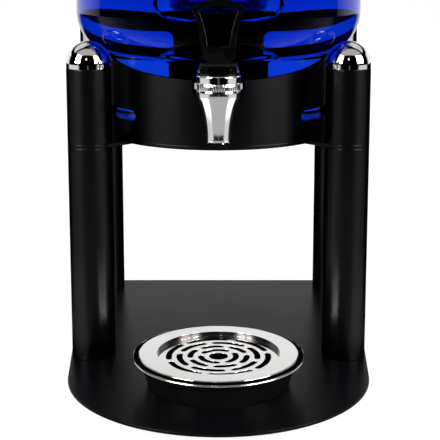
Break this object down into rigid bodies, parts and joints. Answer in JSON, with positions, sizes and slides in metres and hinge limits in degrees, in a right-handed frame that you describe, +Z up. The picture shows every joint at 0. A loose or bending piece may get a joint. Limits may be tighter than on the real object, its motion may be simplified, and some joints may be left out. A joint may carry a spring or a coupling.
{
  "type": "juice_dispenser",
  "caption": "Juice dispenser with a clear round tank, ice tube, lever tap, black tube stand with chrome caps, and a round drip tray on a D-shaped base.",
  "frame": {"origin": "On the table, under the middle of the dispenser's bounding box.", "axes": "+Z is up. -Y is the front, where the tap and the drip tray are. +X is to the right of someone who faces the tap."},
  "size_m": [0.2648, 0.363, 0.5081],
  "materials": {
    "satin_black": "satin",
    "gloss_black": "glossy",
    "chrome": "polished",
    "steel": "brushed",
    "clear": "clear polycarbonate",
    "rubber": "matte",
    "silicone": "matte"
  },
  "bodies": {
    "stand": {"base_plate": "satin_black", "base_feet": "rubber", "base_nuts": "steel", "front_left_leg": "satin_black", "front_right_leg": "satin_black", "rear_left_leg": "satin_black", "rear_right_leg": "satin_black", "tie_rods": "steel", "shelf_plate": "satin_black", "front_left_sleeve": "satin_black", "front_right_sleeve": "satin_black", "rear_left_sleeve": "satin_black", "rear_right_sleeve": "satin_black", "front_left_dome": "chrome", "front_right_dome": "chrome", "rear_left_collar": "chrome", "rear_right_collar": "chrome", "rear_left_post": "satin_black", "rear_right_post": "satin_black", "rear_left_dome": "chrome", "rear_right_dome": "chrome", "tank_collar": "satin_black", "tank_pad": "rubber", "back_guard": "satin_black"},
    "tank_and_tap": {"tank": "clear", "tap_body": "chrome", "outer_washer": "rubber", "inner_washer": "rubber", "tap_nut": "chrome", "bonnet_nut": "chrome", "bonnet_cap": "gloss_black"},
    "lever": {"tap_lever": "gloss_black", "lever_pin": "steel"},
    "valve": {"valve_stem": "steel", "seat_cup": "silicone"},
    "tank_lid": {"lid": "gloss_black", "lid_seal": "silicone"},
    "ice_insert": {"ice_tube": "clear", "tube_gasket": "rubber"},
    "insert_cap": {"tube_cap": "gloss_black", "cap_knob": "chrome"},
    "tray": {"drip_cup": "satin_black"},
    "tray_liner": {"drip_liner": "chrome"},
    "tray_grate": {"drip_grate": "chrome"}
  },
  "joints": [
    {"name": "tank_lift", "type": "slide", "parent": "stand", "child": "tank_and_tap", "axis": [0, 0, 1], "range_m": [0, 0.09]},
    {"name": "lever_hinge", "type": "hinge", "parent": "tank_and_tap", "child": "lever", "pos_m": [0, -0.0905, 0.2456], "axis": [1, 0, 0], "range_deg": [0, 40], "stiffness_Nm_per_rad": 0.05},
    {"name": "valve_slide", "type": "slide", "parent": "tank_and_tap", "child": "valve", "axis": [0, 0, 1], "range_m": [0, 0.0029]},
    {"name": "lid_lift", "type": "slide", "parent": "tank_and_tap", "child": "tank_lid", "axis": [0, 0, 1], "range_m": [0, 0.2]},
    {"name": "tube_lift", "type": "slide", "parent": "tank_lid", "child": "ice_insert", "axis": [0, 0, 1], "range_m": [0, 0.2]},
    {"name": "cap_lift", "type": "slide", "parent": "ice_insert", "child": "insert_cap", "axis": [0, 0, 1], "range_m": [0, 0.05]},
    {"name": "tray_lift", "type": "slide", "parent": "stand", "child": "tray", "axis": [0, 0, 1], "range_m": [0, 0.06]},
    {"name": "liner_lift", "type": "slide", "parent": "tray", "child": "tray_liner", "axis": [0, 0, 1], "range_m": [0, 0.04]},
    {"name": "grate_lift", "type": "slide", "parent": "tray_liner", "child": "tray_grate", "axis": [0, 0, 1], "range_m": [0, 0.03]}
  ],
  "couplings": [
    {"joint": "lever_hinge", "follows": "valve_slide", "rad_per_m": 240}
  ]
}
